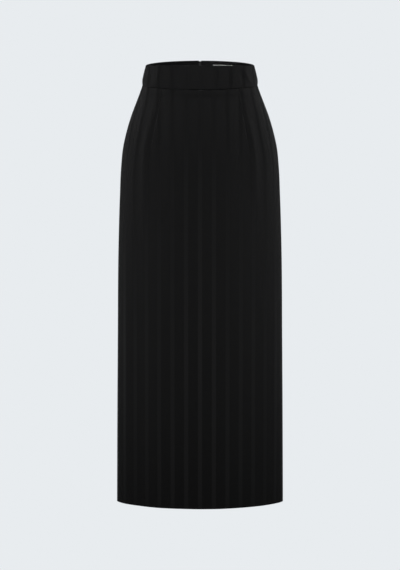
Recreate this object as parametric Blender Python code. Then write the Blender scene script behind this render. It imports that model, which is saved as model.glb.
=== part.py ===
"""A long straight skirt with a shaped waistband, hollow as it is worn.

Metres, +Z up. The front faces -Y, the wearer's left is +X, and the origin is at the middle of the waistband's
height. Every piece of cloth is a wall along one surface, which is worked out from a short table of rings. A point
on it is given by its drop, how far its ring lies under the rim at the side seams, and its turn: 0 at the centre
front, 1 and -1 at the side seams and 2 at the centre back, spaced evenly along the cloth between them.
"""

import math
from collections import namedtuple
from functools import lru_cache

import bmesh
import bpy
import numpy as np
from mathutils import Vector

NAME = "maxi_skirt"

# Heights at the side seams.
BAND_HEIGHT = 0.0422
LENGTH = 0.982
RIM_Z = BAND_HEIGHT / 2

# side: half the width. front and back: depths from the side seams' plane. dip and lift: how far the ring runs
# down at the centre front and up at the centre back. pinch: 0.5 rounds the ring to an ellipse, 1 to a lens.
Ring = namedtuple("Ring", "drop side front back dip lift pinch")
RINGS = (
    Ring(0.0000, 0.1197, 0.0770, 0.0820, 0.0060, 0.0170, 0.50),
    Ring(0.0211, 0.1252, 0.0820, 0.0862, 0.0110, 0.0140, 0.50),
    Ring(0.0340, 0.1277, 0.0845, 0.0885, 0.0140, 0.0120, 0.50),
    Ring(0.0422, 0.1276, 0.0860, 0.0900, 0.0160, 0.0110, 0.50),
    Ring(0.0588, 0.1330, 0.0885, 0.0945, 0.0145, 0.0100, 0.50),
    Ring(0.0765, 0.1397, 0.0910, 0.0990, 0.0130, 0.0090, 0.50),
    Ring(0.1121, 0.1532, 0.0945, 0.1070, 0.0095, 0.0065, 0.50),
    Ring(0.1476, 0.1639, 0.0965, 0.1135, 0.0060, 0.0040, 0.51),
    Ring(0.1833, 0.1719, 0.0975, 0.1180, 0.0030, 0.0020, 0.53),
    Ring(0.2257, 0.1763, 0.0975, 0.1195, 0.0010, 0.0010, 0.55),
    Ring(0.2905, 0.1793, 0.0965, 0.1170, 0.0000, 0.0000, 0.58),
    Ring(0.4161, 0.1830, 0.0950, 0.1110, 0.0000, 0.0000, 0.62),
    Ring(0.6147, 0.1852, 0.0940, 0.1070, 0.0000, 0.0000, 0.65),
    Ring(0.7990, 0.1869, 0.0925, 0.1070, 0.0000, 0.0000, 0.67),
    Ring(0.9820, 0.1882, 0.0910, 0.1090, 0.0000, 0.0000, 0.68),
)

# Cloth and seams. The band is folded double, and stands proud of the skirt by as much as the skirt is thick.
CLOTH = 0.0012
BAND_PROUD = 0.0012
BAND_EDGE = 0.0010
HEM_TURN = 0.035
HEM_STEP = 0.0010
SEAM_GAP = 0.0003

# at_waist and at_tip: how far the dart lies from the centre line, along the cloth. intake: the cloth it takes in.
Dart = namedtuple("Dart", "at_waist at_tip tip_drop intake")
FRONT_DART = Dart(0.088, 0.118, 0.2257, 0.028)
BACK_DART = Dart(0.086, 0.098, 0.1833, 0.026)
DART_CREASE = 0.0005
DART_RIDGE = 0.0020
CREASE_HALF = 0.0025

# Zip. The band's ends part above NOTCH_DROP, around the slider's neck.
NOTCH_DROP = 0.0115
NOTCH_HALF = 0.0026
ZIP_END = 0.190
TAPE_TOP = 0.0035
TAPE_WIDTH = 0.012
TAPE_THICK = 0.0006
COIL_TOP = 0.0102
COIL_WIDTH = 0.0045
COIL_THICK = 0.0018

# Label, on the inside of the back band: its near end's distance from the centre back, and its size.
LABEL_AWAY = 0.030
LABEL_WIDE = 0.046
LABEL_TOP = 0.0075
LABEL_HIGH = 0.0120
LABEL_THICK = 0.0005

# A box in the zip's own frame: how far it reaches to each side, outward (from, to) and down (from, to).
Block = namedtuple("Block", "half_wide near far top bottom")
SLIDER_BODY = Block(0.0028, -0.0052, -0.0024, 0.0020, 0.0105)
SLIDER_NECK = Block(0.0007, -0.0034, 0.0018, 0.0024, 0.0068)
SLIDER_PLATE = Block(0.0021, 0.0015, 0.0023, 0.0012, 0.0088)
SLIDER_ARCH = Block(0.0008, 0.0021, 0.0047, 0.0022, 0.0078)
ARCH_HOLE = Block(0.0020, 0.0023, 0.0040, 0.0031, 0.0068)
SLIDER_ROUND = 0.0003

# Pull tab, down from its axis: its outline's half widths, and its eye.
PullStation = namedtuple("PullStation", "down half_wide")
PULL_OUTLINE = (
    PullStation(-0.00045, 0.0019),
    PullStation(0.0004, 0.0025),
    PullStation(0.0044, 0.0025),
    PullStation(0.0078, 0.0014),
    PullStation(0.0145, 0.0027),
    PullStation(0.0178, 0.0014),
)
PULL_END = 0.0184
PULL_BAR = 0.00045
PULL_EYE_END = 0.0044
PULL_EYE_HALF = 0.0015
PULL_THICK = 0.0008
PULL_AXIS_OUT = 0.00315
PULL_REST_GAP = 0.0003

# Rows of the panels between the rings' own, where the outline bends most, and the cells of a wall.
ROWS_BETWEEN = (0.0465, 0.0935, 0.1300, 0.1655, 0.2040, 0.2540, 0.3450, 0.5100, 0.7070, 0.8800)
BAND_ROWS = (0.0060, 0.0211, 0.0330)
CENTRE_CELLS = 6
SIDE_CELLS = 6
BAND_CELLS = 12
LABEL_CELLS = 4

# How finely a ring is measured, the short stretches that a normal is taken over, and how near a turn is the same.
QUARTER_STEPS = 240
NORMAL_TURN = 0.01
NORMAL_DROP = 0.001
STATION_NEAR = 1e-6


# The surface


def smooth_at(field, drop):
    """A column of the ring table at any drop: a cubic through its rows."""
    drops = np.array([ring.drop for ring in RINGS])
    values = np.array([getattr(ring, field) for ring in RINGS])
    slopes = np.gradient(values, drops)
    row = int(np.clip(np.searchsorted(drops, drop) - 1, 0, len(drops) - 2))
    step = drops[row + 1] - drops[row]
    t = (drop - drops[row]) / step
    start = (1 + 2 * t) * (1 - t) ** 2 * values[row] + t * (1 - t) ** 2 * step * slopes[row]
    end = t * t * (3 - 2 * t) * values[row + 1] + t * t * (t - 1) * step * slopes[row + 1]
    return float(start + end)


@lru_cache(maxsize=None)
def ring_at(drop):
    return Ring(drop, *(smooth_at(field, drop) for field in Ring._fields[1:]))


@lru_cache(maxsize=None)
def quarter(drop, depth_field):
    """A quarter of a ring, from its centre line to the side seam: lengths along it, widths and depths."""
    ring = ring_at(drop)
    angles = np.linspace(0, math.pi / 2, QUARTER_STEPS + 1)
    widths = ring.side * np.sin(angles)
    depths = getattr(ring, depth_field) * np.abs(np.cos(angles)) ** (2 * ring.pinch)
    steps = np.hypot(np.diff(widths), np.diff(depths))
    return np.concatenate(([0], np.cumsum(steps))), widths, depths


def quarter_length(drop, depth_field):
    return float(quarter(drop, depth_field)[0][-1])


def surface(drop, turn):
    """The point of the cloth's outer face at this drop and turn."""
    drop = min(max(drop, 0.0), LENGTH)
    turn = (turn + 2) % 4 - 2
    at_front = abs(turn) <= 1
    depth_field = "front" if at_front else "back"
    lengths, widths, depths = quarter(drop, depth_field)
    share = abs(turn) if at_front else 2 - abs(turn)
    along = share * lengths[-1]
    width = float(np.interp(along, lengths, widths))
    depth = float(np.interp(along, lengths, depths))
    ring = ring_at(drop)
    if at_front:
        return Vector((math.copysign(width, turn), -depth, RIM_Z - drop - ring.dip * depth / ring.front))
    return Vector((math.copysign(width, turn), depth, RIM_Z - drop + ring.lift * depth / ring.back))


def outward(drop, turn):
    """The surface's outward normal, taken over a short stretch so that it turns gently at the side seams."""
    across = surface(drop, turn + NORMAL_TURN) - surface(drop, turn - NORMAL_TURN)
    down = surface(drop + NORMAL_DROP, turn) - surface(drop - NORMAL_DROP, turn)
    return down.cross(across).normalized()


# Walls

# drops: its rows. turns_at(drop): its stations on a row. span_at(drop, turn): how far out its outer and its inner
# face lie.
Wall = namedtuple("Wall", "drops turns_at span_at")


def wall_faces(rows, leans):
    """Faces of a closed wall whose points are an outer and an inner grid, row by row from the top.

    leans tells which way each column's cells are split, so that both faces are split alike and the skirt's halves
    mirror each other.
    """
    columns = len(leans) + 1

    def outer(row, column):
        return row * columns + column

    def inner(row, column):
        return (rows + row) * columns + column

    faces = []
    for row in range(rows - 1):
        for column, leans_left in enumerate(leans):
            corners = [(row, column), (row + 1, column), (row + 1, column + 1), (row, column + 1)]
            if leans_left:
                corners = corners[1:] + corners[:1]
            for triangle in (corners[:3], [corners[0], corners[2], corners[3]]):
                faces.append([outer(*corner) for corner in triangle])
                faces.append([inner(*corner) for corner in reversed(triangle)])
    for column in range(columns - 1):
        after = column + 1
        last = rows - 1
        faces.append([outer(0, column), outer(0, after), inner(0, after), inner(0, column)])
        faces.append([outer(last, column), inner(last, column), inner(last, after), outer(last, after)])
    for row in range(rows - 1):
        below = row + 1
        last = columns - 1
        faces.append([outer(row, 0), inner(row, 0), inner(below, 0), outer(below, 0)])
        faces.append([outer(row, last), outer(below, last), inner(below, last), inner(row, last)])
    return faces


def add_wall(name, wall, material, collection, point_at=surface):
    """A closed wall. point_at gives the points that its two faces are moved out or in from."""
    outer_points = []
    inner_points = []
    for drop in wall.drops:
        for turn in wall.turns_at(drop):
            point = point_at(drop, turn)
            normal = outward(drop, turn)
            outer_out, inner_out = wall.span_at(drop, turn)
            outer_points.append(point + normal * outer_out)
            inner_points.append(point + normal * inner_out)
    turns = wall.turns_at(wall.drops[0])
    leans = [before + after < 0 for before, after in zip(turns, turns[1:])]
    mesh = bpy.data.meshes.new(name)
    mesh.from_pydata(outer_points + inner_points, [], wall_faces(len(wall.drops), leans))
    mesh.shade_smooth()
    mesh.set_sharp_from_angle(angle=math.radians(40))
    return place(name, mesh, material, collection)


def place(name, data, material, collection):
    data.materials.append(material)
    obj = bpy.data.objects.new(name, data)
    collection.objects.link(obj)
    return obj


def evenly(start, end, cells):
    return [start + (end - start) * step / cells for step in range(cells + 1)]


def crowded(start, end, cells):
    """Stations that lie closest together near the start, where a ring is most sharply bent."""
    return [start + (end - start) * (1 - math.cos(math.pi / 2 * step / cells)) for step in range(cells + 1)]


def seam_share(drop, depth_field):
    return SEAM_GAP / 2 / quarter_length(drop, depth_field)


def mirrored(shares):
    """Turns right across the front, from shares of a quarter that start at the centre front."""
    return [-share for share in reversed(shares[1:])] + shares


def behind(shares, side):
    """Turns across one back quarter, from shares of it that start at the centre back."""
    if side == "left":
        return [2 - share for share in reversed(shares)]
    return [-2 + share for share in shares]


# Skirt panels


def dart_fade(dart, drop):
    """1 at the waist seam, 0 from the dart's tip down."""
    return min(max((dart.tip_drop - drop) / (dart.tip_drop - BAND_HEIGHT), 0.0), 1.0)


def dart_share(dart, drop, depth_field):
    """Where the dart's line, or the cloth under its tip, lies on a quarter."""
    level = min(drop, dart.tip_drop)
    fade = dart_fade(dart, level)
    length = dart.at_tip + (dart.at_waist - dart.at_tip) * fade
    return length / quarter_length(level, depth_field)


def panel_shares(dart, drop, depth_field, start):
    """A panel's stations on a quarter: even up to the dart, and crowded towards the side seam."""
    length = quarter_length(drop, depth_field)
    line = dart_share(dart, drop, depth_field)
    underlay = (CREASE_HALF + dart.intake / 2 * dart_fade(dart, drop)) / length
    side = crowded(1 - seam_share(drop, depth_field), line + CREASE_HALF / length, SIDE_CELLS)
    return evenly(start, line - underlay, CENTRE_CELLS) + [line] + side[::-1]


def panel_span(dart, drop, turn, depth_field):
    """The panel's thickness: the turned-up hem and the darts' folds lie inside."""
    share = abs(turn) if depth_field == "front" else 2 - abs(turn)
    on_line = math.isclose(share, dart_share(dart, drop, depth_field), abs_tol=STATION_NEAR)
    fold = dart_fade(dart, drop) if on_line else 0.0
    layers = 2 if drop > LENGTH - HEM_TURN else 1
    return -DART_CREASE * fold, -CLOTH * layers - DART_RIDGE * fold


def panel_drops():
    """The rows of the skirt's panels: the table's rings under the waist, some between them and the turned hem."""
    top = BAND_HEIGHT + SEAM_GAP / 2
    rings = [ring.drop for ring in RINGS if ring.drop > BAND_HEIGHT]
    turn_up = [LENGTH - HEM_TURN, LENGTH - HEM_TURN + HEM_STEP]
    return sorted([top, *rings, *ROWS_BETWEEN, *turn_up])


def front_panel():
    def turns_at(drop):
        return mirrored(panel_shares(FRONT_DART, drop, "front", 0.0))

    def span_at(drop, turn):
        return panel_span(FRONT_DART, drop, turn, "front")

    return Wall(panel_drops(), turns_at, span_at)


def back_panel(side):
    def turns_at(drop):
        return behind(panel_shares(BACK_DART, drop, "back", seam_share(drop, "back")), side)

    def span_at(drop, turn):
        return panel_span(BACK_DART, drop, turn, "back")

    return Wall(panel_drops(), turns_at, span_at)


# Waistband


def edge_round(distance):
    """How far the band's face draws back near its rim or its lower edge."""
    reach = max(BAND_EDGE - distance, 0.0)
    return BAND_EDGE - math.sqrt(BAND_EDGE**2 - reach**2)


def band_span(drop, turn):
    back = edge_round(drop)
    return BAND_PROUD - back - edge_round(BAND_HEIGHT - SEAM_GAP / 2 - drop), -CLOTH + back


def band_drops():
    bottom = BAND_HEIGHT - SEAM_GAP / 2
    edge = (0.0, BAND_EDGE * 0.3, BAND_EDGE)
    return sorted([*edge, NOTCH_DROP, *BAND_ROWS, *(bottom - part for part in edge)])


def zip_half(drop):
    """Half the gap between the band's ends: a seam's gap, opening to a notch at the rim."""
    open_share = min(max(1 - drop / NOTCH_DROP, 0.0), 1.0)
    return SEAM_GAP / 2 + (NOTCH_HALF - SEAM_GAP / 2) * open_share


def zip_share(drop):
    return zip_half(drop) / quarter_length(drop, "back")


def front_band():
    def turns_at(drop):
        return mirrored(crowded(1 - seam_share(drop, "front"), 0.0, BAND_CELLS)[::-1])

    return Wall(band_drops(), turns_at, band_span)


def back_band(side):
    def turns_at(drop):
        return behind(crowded(1 - seam_share(drop, "back"), zip_share(drop), BAND_CELLS)[::-1], side)

    return Wall(band_drops(), turns_at, band_span)


# Zip and label


def cell_of(stations, value):
    """The cell that holds a value, and how far along the cell it lies."""
    cell = int(np.clip(np.searchsorted(stations, value) - 1, 0, len(stations) - 2))
    along = (value - stations[cell]) / (stations[cell + 1] - stations[cell])
    return cell, float(np.clip(along, 0.0, 1.0))


def back_facet(drop, turn):
    """The point on the flat facets of the back's cloth, so that what lies on it keeps clear of it all over."""
    side = "left" if 0 < turn <= 2 else "right"
    wall = back_band(side) if drop < BAND_HEIGHT else back_panel(side)
    row, down = cell_of(wall.drops, drop)
    above, below = wall.drops[row : row + 2]
    upper = np.array(wall.turns_at(above))
    lower = np.array(wall.turns_at(below))
    column, across = cell_of(upper * (1 - down) + lower * down, turn - 4 if turn > 2 else turn)
    top = surface(above, upper[column]).lerp(surface(above, upper[column + 1]), across)
    bottom = surface(below, lower[column]).lerp(surface(below, lower[column + 1]), across)
    return top.lerp(bottom, down)


def zip_drops(top):
    """The rows of a piece of the zip: those of the band and the panels that lie between its ends."""
    return [top, *(drop for drop in band_drops() + panel_drops() if top < drop < ZIP_END), ZIP_END]


def add_zip_tape(side, fabric, collection):
    outer_out = -CLOTH - SEAM_GAP

    def turns_at(drop):
        start = zip_share(drop)
        return behind(evenly(start, start + TAPE_WIDTH / quarter_length(drop, "back"), 2), side)

    def span_at(drop, turn):
        return outer_out, outer_out - TAPE_THICK

    add_wall("zip_tape_" + side, Wall(zip_drops(TAPE_TOP), turns_at, span_at), fabric, collection, back_facet)


def add_zip_coil(plastic, collection):
    outer_out = -CLOTH - 2 * SEAM_GAP - TAPE_THICK

    def turns_at(drop):
        half = COIL_WIDTH / 2 / quarter_length(drop, "back")
        return evenly(2 - half, 2 + half, 2)

    def span_at(drop, turn):
        return outer_out, outer_out - COIL_THICK

    add_wall("zip_coil", Wall(zip_drops(COIL_TOP), turns_at, span_at), plastic, collection, back_facet)


def add_label(fabric, collection):
    outer_out = -CLOTH - SEAM_GAP

    def turns_at(drop):
        length = quarter_length(drop, "back")
        return evenly(2 - (LABEL_AWAY + LABEL_WIDE) / length, 2 - LABEL_AWAY / length, LABEL_CELLS)

    def span_at(drop, turn):
        return outer_out, outer_out - LABEL_THICK

    drops = evenly(LABEL_TOP, LABEL_TOP + LABEL_HIGH, 2)
    add_wall("label", Wall(drops, turns_at, span_at), fabric, collection, back_facet)


def add_zip_frame(collection):
    """An empty on the rim at the centre back, with Y outward and Z up along the band."""
    frame = bpy.data.objects.new("zip_frame", None)
    collection.objects.link(frame)
    rim = surface(0.0, 2.0)
    frame.location = rim
    down = surface(NOTCH_DROP, 2.0) - rim
    frame.rotation_euler.x = math.atan2(down.y, -down.z)
    return frame


def add_block(name, block, parent, collection, round_by=0.0):
    """A box from its Block, in the zip's frame."""
    bm = bmesh.new()
    bmesh.ops.create_cube(bm, size=1.0)
    size = Vector((2 * block.half_wide, block.far - block.near, block.bottom - block.top))
    centre = Vector((0.0, (block.far + block.near) / 2, -(block.top + block.bottom) / 2))
    for vertex in bm.verts:
        vertex.co = Vector([at * length for at, length in zip(vertex.co, size)]) + centre
    if round_by:
        bmesh.ops.bevel(bm, geom=bm.edges[:], offset=round_by, segments=2, profile=0.5, affect="EDGES")
    mesh = bpy.data.meshes.new(name)
    bm.to_mesh(mesh)
    bm.free()
    obj = bpy.data.objects.new(name, mesh)
    collection.objects.link(obj)
    obj.parent = parent
    return obj


def cut_or_join(obj, tool, operation):
    modifier = obj.modifiers.new(tool.name, "BOOLEAN")
    modifier.operation = operation
    modifier.object = tool
    tool.hide_render = True
    tool.display_type = "WIRE"


def add_zip_slider(frame, metal, collection, cutters):
    """A body on the coil, a neck through the band's notch and, outside, a plate whose arch holds the pull."""
    slider = add_block("zip_slider", SLIDER_BODY, frame, collection, SLIDER_ROUND)
    slider.data.materials.append(metal)
    cut_or_join(slider, add_block("neck", SLIDER_NECK, frame, cutters), "UNION")
    cut_or_join(slider, add_block("plate", SLIDER_PLATE, frame, cutters), "UNION")
    cut_or_join(slider, add_block("arch", SLIDER_ARCH, frame, cutters, SLIDER_ROUND), "UNION")
    cut_or_join(slider, add_block("arch_hole", ARCH_HOLE, frame, cutters), "DIFFERENCE")


def pull_outline(curve):
    """The pull's drop-shaped outline, closed round its lower end."""
    right = [(station.half_wide, -station.down) for station in PULL_OUTLINE]
    left = [(-x, y) for x, y in reversed(right)]
    points = right + [(0.0, -PULL_END)] + left
    spline = curve.splines.new("BEZIER")
    spline.bezier_points.add(len(points) - 1)
    for point, (x, y) in zip(spline.bezier_points, points):
        point.co = (x, y, 0.0)
        point.handle_left_type = "AUTO"
        point.handle_right_type = "AUTO"
    spline.bezier_points[0].handle_left_type = "VECTOR"
    spline.bezier_points[-1].handle_right_type = "VECTOR"
    spline.use_cyclic_u = True


def pull_eye(curve):
    corners = [(side * PULL_EYE_HALF, -down) for side, down in
               ((1, PULL_BAR), (1, PULL_EYE_END), (-1, PULL_EYE_END), (-1, PULL_BAR))]
    spline = curve.splines.new("POLY")
    spline.points.add(len(corners) - 1)
    for point, (x, y) in zip(spline.points, corners):
        point.co = (x, y, 0.0, 1.0)
    spline.use_cyclic_u = True


def add_zip_pull(frame, metal, collection):
    """The pull hangs on the arch and leans on the band. Its origin is on its axis."""
    curve = bpy.data.curves.new("zip_pull", "CURVE")
    curve.dimensions = "2D"
    curve.fill_mode = "BOTH"
    curve.extrude = PULL_THICK / 2
    curve.resolution_u = 4
    curve.render_resolution_u = 4
    pull_outline(curve)
    pull_eye(curve)
    pull = place("zip_pull", curve, metal, collection)
    pull.parent = frame
    axis_down = ARCH_HOLE.bottom - PULL_BAR - PULL_REST_GAP
    pull.location = (0.0, PULL_AXIS_OUT, -axis_down)
    clear = PULL_AXIS_OUT - BAND_PROUD - PULL_REST_GAP - PULL_THICK / 2
    lean = math.atan2(clear, PULL_END)
    pull.rotation_euler.x = math.pi / 2 - lean


# The whole


def add_material(name, colour, roughness, metallic=0.0):
    material = bpy.data.materials.new(name)
    material.use_nodes = True
    shader = material.node_tree.nodes["Principled BSDF"]
    shader.inputs["Base Color"].default_value = (*colour, 1.0)
    shader.inputs["Roughness"].default_value = roughness
    shader.inputs["Metallic"].default_value = metallic
    material.diffuse_color = (*colour, 1.0)
    return material


def add_collection(name):
    collection = bpy.data.collections.new(name)
    bpy.context.scene.collection.children.link(collection)
    return collection


def clear_scene():
    for obj in list(bpy.data.objects):
        bpy.data.objects.remove(obj)


def main():
    clear_scene()
    parts = add_collection(NAME)
    cutters = add_collection("cutters")
    cutters.hide_render = True
    cloth = add_material("black_cloth", (0.010, 0.010, 0.010), 0.6)
    tape = add_material("black_tape", (0.012, 0.012, 0.012), 0.8)
    metal = add_material("dark_metal", (0.035, 0.035, 0.036), 0.4, 0.6)
    plastic = add_material("black_plastic", (0.015, 0.015, 0.015), 0.4)
    pale = add_material("pale_tape", (0.35, 0.35, 0.35), 0.7)

    add_wall("front_panel", front_panel(), cloth, parts)
    add_wall("waistband_front", front_band(), cloth, parts)
    for side in ("left", "right"):
        add_wall("back_panel_" + side, back_panel(side), cloth, parts)
        add_wall("waistband_back_" + side, back_band(side), cloth, parts)
        add_zip_tape(side, tape, parts)
    add_zip_coil(plastic, parts)
    add_label(pale, parts)
    frame = add_zip_frame(parts)
    add_zip_slider(frame, metal, parts, cutters)
    add_zip_pull(frame, metal, parts)


main()
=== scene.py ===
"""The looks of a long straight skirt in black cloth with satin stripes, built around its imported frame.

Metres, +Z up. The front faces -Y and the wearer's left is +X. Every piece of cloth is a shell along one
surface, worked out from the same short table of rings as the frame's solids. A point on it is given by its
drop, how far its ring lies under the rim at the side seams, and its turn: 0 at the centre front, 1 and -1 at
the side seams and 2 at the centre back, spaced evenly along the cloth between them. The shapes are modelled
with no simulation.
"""

import math
from collections import namedtuple
from functools import lru_cache

import bpy
import numpy as np
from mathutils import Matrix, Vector


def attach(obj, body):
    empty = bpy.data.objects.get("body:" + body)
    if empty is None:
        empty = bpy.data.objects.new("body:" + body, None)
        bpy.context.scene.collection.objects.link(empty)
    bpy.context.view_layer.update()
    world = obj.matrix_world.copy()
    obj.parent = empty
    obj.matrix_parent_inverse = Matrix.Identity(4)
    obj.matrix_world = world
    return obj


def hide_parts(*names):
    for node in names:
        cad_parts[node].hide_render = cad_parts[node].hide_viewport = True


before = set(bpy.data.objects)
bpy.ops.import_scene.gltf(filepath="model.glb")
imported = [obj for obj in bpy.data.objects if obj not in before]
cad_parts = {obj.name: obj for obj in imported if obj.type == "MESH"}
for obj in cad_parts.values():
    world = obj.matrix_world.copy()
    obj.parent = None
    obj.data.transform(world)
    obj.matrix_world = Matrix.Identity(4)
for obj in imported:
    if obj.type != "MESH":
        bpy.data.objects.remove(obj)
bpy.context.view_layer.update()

# The frame's sizes, repeated from its source

BAND_HEIGHT = 0.0422
LENGTH = 0.982
RIM_Z = BAND_HEIGHT / 2

# side: half the width. front and back: depths from the side seams' plane. dip and lift: how far the ring runs
# down at the centre front and up at the centre back. pinch: 0.5 rounds the ring to an ellipse, 1 to a lens.
Ring = namedtuple("Ring", "drop side front back dip lift pinch")
RINGS = (
    Ring(0.0000, 0.1197, 0.0770, 0.0820, 0.0060, 0.0170, 0.50),
    Ring(0.0211, 0.1252, 0.0820, 0.0862, 0.0110, 0.0140, 0.50),
    Ring(0.0340, 0.1277, 0.0845, 0.0885, 0.0140, 0.0120, 0.50),
    Ring(0.0422, 0.1276, 0.0860, 0.0900, 0.0160, 0.0110, 0.50),
    Ring(0.0588, 0.1330, 0.0885, 0.0945, 0.0145, 0.0100, 0.50),
    Ring(0.0765, 0.1397, 0.0910, 0.0990, 0.0130, 0.0090, 0.50),
    Ring(0.1121, 0.1532, 0.0945, 0.1070, 0.0095, 0.0065, 0.50),
    Ring(0.1476, 0.1639, 0.0965, 0.1135, 0.0060, 0.0040, 0.51),
    Ring(0.1833, 0.1719, 0.0975, 0.1180, 0.0030, 0.0020, 0.53),
    Ring(0.2257, 0.1763, 0.0975, 0.1195, 0.0010, 0.0010, 0.55),
    Ring(0.2905, 0.1793, 0.0965, 0.1170, 0.0000, 0.0000, 0.58),
    Ring(0.4161, 0.1830, 0.0950, 0.1110, 0.0000, 0.0000, 0.62),
    Ring(0.6147, 0.1852, 0.0940, 0.1070, 0.0000, 0.0000, 0.65),
    Ring(0.7990, 0.1869, 0.0925, 0.1070, 0.0000, 0.0000, 0.67),
    Ring(0.9820, 0.1882, 0.0910, 0.1090, 0.0000, 0.0000, 0.68),
)

# The cloth's thickness, how far the band stands out, its rounded edges, and the width of the turned hem.
CLOTH = 0.0012
BAND_PROUD = 0.0012
BAND_EDGE = 0.0010
HEM_TURN = 0.035

# at_waist and at_tip: how far the dart lies from the centre line, along the cloth. intake: what it takes in.
Dart = namedtuple("Dart", "at_waist at_tip tip_drop intake")
FRONT_DART = Dart(0.088, 0.118, 0.2257, 0.028)
BACK_DART = Dart(0.086, 0.098, 0.1833, 0.026)
DART_UNDER = 0.0025

# The notch where the zip parts the rim, the zip's tapes and teeth, and the label. Each OUT is how far outside
# the cloth's outer face a piece's own outer face lies.
NOTCH_DROP = 0.0115
NOTCH_HALF = 0.0026
NOTCH_ROUND = 0.0012
NOTCH_CORNER = 0.0006
ZIP_END = 0.190
TAPE_TOP = 0.0035
TAPE_WIDTH = 0.012
TAPE_OUT = -0.0014
TAPE_THICK = 0.0005
COIL_TOP = 0.0102
LABEL_AWAY = 0.030
LABEL_WIDE = 0.046
LABEL_TOP = 0.0075
LABEL_HIGH = 0.0120
LABEL_OUT = -0.0014
LABEL_THICK = 0.0004

# Details of the sewing that only show here. The seams are sunk along their stitches and raised by the
# turnings that are pressed open under them: how far, and how far to each side.
SEAM_DIP = 0.0006
SEAM_SOFT = 0.0016
SEAM_RIDGE = 0.0006
SEAM_RIDGE_REACH = 0.0140
WAIST_DIP = 0.0007
WAIST_DIP_REACH = 0.0014

# Turnings inside: how wide they are, how thick, and how soft the step at their cut edge is.
ALLOWANCE = 0.0120
ALLOWANCE_THICK = 0.0007
WAIST_ALLOWANCE = 0.0095
CUT_EDGE = 0.0008

# The waist seam's turning prints through. Below it the cloth draws in a little, fully from one drop and until
# another, but not at the side seams.
WAIST_PRESS = 0.00022
WAIST_PRESS_FADE = 0.0024
WAIST_HOLLOW = 0.0015
WAIST_HOLLOW_FULL = 0.0640
WAIST_HOLLOW_END = 0.210
WAIST_HOLLOW_FADE = 0.135
WAIST_HOLLOW_SIDES = 0.25

# A dart's dip along its line, and the cloth folded under it. The fades are shares of the dart's length.
DART_DIP = 0.0006
DART_SOFT = 0.0010
DART_DIP_FADE = 1 / 5
DART_FOLD = 0.0010
DART_FOLD_FADE = 1 / 12

HEM_ROUND = 0.0011

# The striped cloth: how far apart its stripes are, and how wide.
STRIPE_APART = 0.0306
STRIPE_WIDE = 0.0092
STRIPE_EDGE = 0.0009
BAND_SHIFT = -0.0042
BAND_STRETCH = 0.94

# Zip teeth: length across the zip, thickness down it, height, how far apart on one side and how far aside.
TOOTH_LONG = 0.0026
TOOTH_WIDE = 0.00062
TOOTH_HIGH = 0.0020
TOOTH_APART = 0.0013
TOOTH_ASIDE = 0.00085

# The zip's lower stop: half its sizes, and how far above the tapes' end its middle and the last teeth lie.
STOP_HALF = (0.0026, 0.0017, 0.0011)
STOP_RISE = 0.0030
TEETH_RISE = 0.0050

# The tapes' woven edges are thicker, and beyond their stitches they wave a little.
TAPE_RIB = 0.00012
TAPE_RIB_IN = 0.0006
TAPE_RIB_WIDE = 0.0005
TAPE_WAVE = 0.00010
TAPE_WAVES = 330.0
TAPE_WAVE_IN = 0.006
TAPE_WAVE_FADE = 0.004

# The label's ends are folded under, and it bows away from the band, unevenly from top to bottom.
LABEL_FOLD = 0.0030
LABEL_FOLD_THICK = 0.6
LABEL_BOW = 0.00045
LABEL_BOW_SWING = 0.3
LABEL_BOW_WAVES = 260.0

# Stitches: half their length, half their thread's thickness, how many rings their mesh has, and how far their
# middle is drawn in. Then where each kind lies.
Stitch = namedtuple("Stitch", "half_long half_thick rings drawn_in")
TAPE_STITCH = Stitch(0.0011, 0.00016, 5, 0.00006)
LABEL_STITCH = Stitch(0.0009, 0.00014, 5, 0.0)
HEM_STITCH = Stitch(0.0026, 0.00014, 6, 0.0)
THREAD_SIDES = 6
TAPE_STITCH_TOP = 0.004
TAPE_STITCH_END = 0.003
TAPE_STITCH_APART = 0.0033
TAPE_STITCH_IN = 0.0030
TAPE_STITCH_PROUD = 0.00008
LABEL_STITCHES = 4
LABEL_STITCH_ENDS = 0.0015
LABEL_STITCH_IN = 0.0014
LABEL_STITCH_PROUD = 0.00006
HEM_STITCHES = 118
HEM_STITCH_SLANT = 55
HEM_STITCH_TILT = 0.26
HEM_STITCH_BELOW = 0.0004
HEM_STITCH_PROUD = 0.00085

# Colours, as shares of light
GROUND = (0.0096, 0.0096, 0.0098)
STRIPE = (0.0063, 0.0063, 0.0065)
WRONG_GROUND = (0.0200, 0.0200, 0.0204)
WRONG_STRIPE = (0.0165, 0.0165, 0.0169)
STRIPE_COAT = 0.115
WRONG_STRIPE_COAT = 0.08
GROUND_ROUGHNESS = 0.86
STRIPE_ROUGHNESS = 0.60
SATIN_RELIEF = 0.35
LABEL_COLOUR = (0.92, 0.92, 0.91)
TAPE_COLOUR = (0.014, 0.014, 0.015)
NYLON = (0.012, 0.012, 0.013)
SEWING_THREAD = (0.020, 0.020, 0.021)
METAL = (0.20, 0.20, 0.205)
METAL_RUBBED = (0.38, 0.375, 0.37)
BACKDROP = (0.807, 0.838, 0.863)
ROOM = (0.01, 0.01, 0.0102)

# Camera, and the floor
CAMERA_TARGET = Vector((0.0, 0.0, -0.4693))
CAMERA_AWAY = 3.5
CAMERA_ELEVATION = math.radians(3.8)
CAMERA_LENS = 98.25
CAMERA_REACH = 60.0
FLOOR_Z = -1.12
FLOOR_REACH = 14.0
FLOOR_SIDES = 48
FLOOR_GLOW = 0.22

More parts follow.
